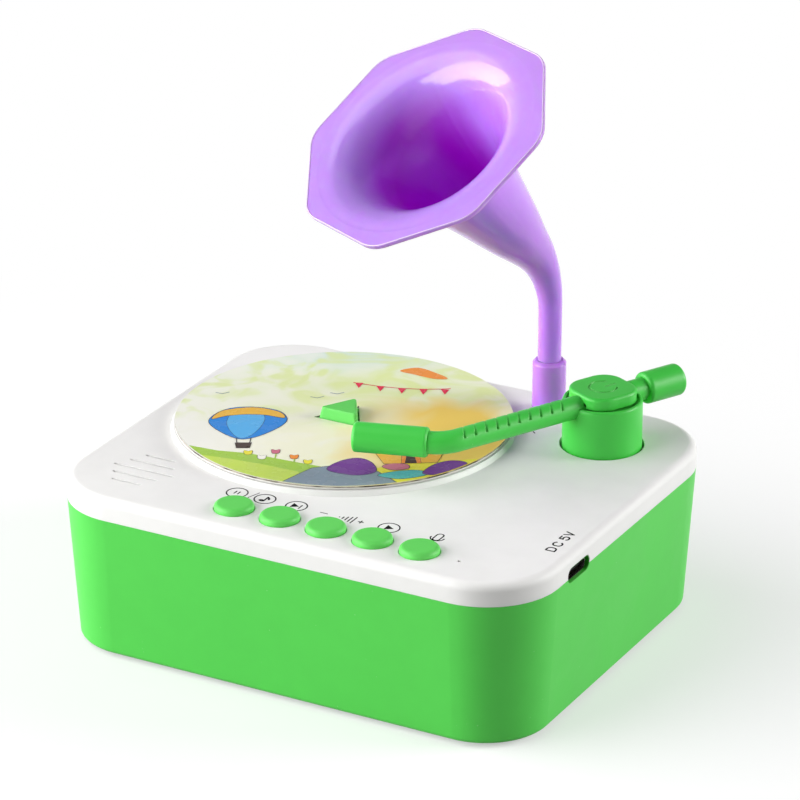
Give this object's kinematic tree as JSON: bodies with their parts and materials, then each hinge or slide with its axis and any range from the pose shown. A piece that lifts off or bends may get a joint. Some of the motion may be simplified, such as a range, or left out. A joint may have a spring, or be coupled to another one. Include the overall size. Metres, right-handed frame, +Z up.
{
  "type": "audio story player",
  "caption": "Child's disc story player shaped like a gramophone: box casing, spinning disc, swinging tonearm with power key, push keys, speaker and a bent eight-sided horn.",
  "frame": {"origin": "middle of the footprint on the surface that the feet stand on", "axes": "+Z up, -Y towards the row of keys (front), +X towards the charging port (right)"},
  "size_m": [0.1234, 0.1028, 0.1362],
  "materials": {
    "green_shell": "satin",
    "white_cover": "satin",
    "green_part": "satin",
    "lilac_horn": "gloss",
    "disc_print": "printed, gloss",
    "rubber": "matt",
    "seal": "matt",
    "foam": "open foam",
    "steel": "plated",
    "motor_can": "plated",
    "port_metal": "plated",
    "magnet": "dark",
    "basket": "matt black",
    "cone": "matt",
    "board": "solder mask",
    "coil": "copper",
    "black_part": "matt",
    "gear": "natural acetal",
    "pouch": "foil"
  },
  "bodies": {
    "casing": {"base_shell": "green_shell", "top_cover": "white_cover", "feet": "rubber", "case_screws": "steel", "spindle_bush": "gear", "motor": "motor_can", "motor_bracket": "steel", "motor_screws": "steel", "bracket_screws": "steel", "reader_coil": "coil", "switch_housings": "black_part", "key_board": "board", "key_board_screws": "steel", "speaker_gasket": "foam", "speaker_basket": "basket", "speaker_cone": "cone", "speaker_magnet": "magnet", "speaker_screws": "steel", "microphone": "black_part", "microphone_boot": "rubber", "main_board": "board", "main_board_screws": "steel", "audio_chip": "black_part", "port_shell": "port_metal", "port_tongue": "black_part", "battery_pad": "foam", "battery_cell": "pouch", "power_board": "board", "power_board_screws": "steel", "power_switch": "black_part"},
    "turntable": {"spindle": "green_part", "story_disc": "disc_print", "spindle_gear": "gear", "spindle_screw": "steel"},
    "motor_rotor": {"motor_shaft": "steel", "motor_pinion": "gear"},
    "key_1": {"key_1_cap": "green_part", "key_1_stem": "black_part"},
    "key_2": {"key_2_cap": "green_part", "key_2_stem": "black_part"},
    "key_3": {"key_3_cap": "green_part", "key_3_stem": "black_part"},
    "key_4": {"key_4_cap": "green_part", "key_4_stem": "black_part"},
    "key_5": {"key_5_cap": "green_part", "key_5_stem": "black_part"},
    "tonearm": {"pivot_column": "green_part", "arm_tube": "green_part", "headshell": "green_part", "counterweight": "green_part", "column_washer": "steel", "column_screws": "steel"},
    "power_key": {"power_cap": "green_part", "power_rod": "steel", "power_clip": "steel", "power_switch_stem": "black_part"},
    "horn": {"horn_collar": "lilac_horn", "horn_ring": "seal", "horn": "lilac_horn"}
  },
  "joints": [
    {"name": "turntable_spin", "type": "hinge", "parent": "casing", "child": "turntable", "pos_m": [-0.0166, 0.01075, 0.0424], "axis": [0, 0, 1], "continuous": true},
    {"name": "rotor_spin", "type": "hinge", "parent": "casing", "child": "motor_rotor", "pos_m": [-0.01973, 0.02848, 0.0313], "axis": [0, 0, 1], "continuous": true},
    {"name": "tonearm_swing", "type": "hinge", "parent": "casing", "child": "tonearm", "pos_m": [0.04085, 0.0303, 0.0409], "axis": [0, 0, 1], "range_deg": [-20, 25]},
    {"name": "power_press", "type": "slide", "parent": "tonearm", "child": "power_key", "axis": [0, 0, -1], "range_m": [0, 0.0005], "stiffness_N_per_m": 1200, "springref_m": -0.0004},
    {"name": "key_1_press", "type": "slide", "parent": "casing", "child": "key_1", "axis": [0, 0, -1], "range_m": [0, 0.0008], "stiffness_N_per_m": 900, "springref_m": -0.0005},
    {"name": "key_2_press", "type": "slide", "parent": "casing", "child": "key_2", "axis": [0, 0, -1], "range_m": [0, 0.0008], "stiffness_N_per_m": 900, "springref_m": -0.0005},
    {"name": "key_3_press", "type": "slide", "parent": "casing", "child": "key_3", "axis": [0, 0, -1], "range_m": [0, 0.0008], "stiffness_N_per_m": 900, "springref_m": -0.0005},
    {"name": "key_4_press", "type": "slide", "parent": "casing", "child": "key_4", "axis": [0, 0, -1], "range_m": [0, 0.0008], "stiffness_N_per_m": 900, "springref_m": -0.0005},
    {"name": "key_5_press", "type": "slide", "parent": "casing", "child": "key_5", "axis": [0, 0, -1], "range_m": [0, 0.0008], "stiffness_N_per_m": 900, "springref_m": -0.0005},
    {"name": "horn_turn", "type": "hinge", "parent": "casing", "child": "horn", "pos_m": [0.0214, 0.0415, 0.0409], "axis": [0, 0, 1], "continuous": true}
  ],
  "couplings": [
    {"joint": "rotor_spin", "follows": "turntable_spin", "ratio": -5}
  ]
}
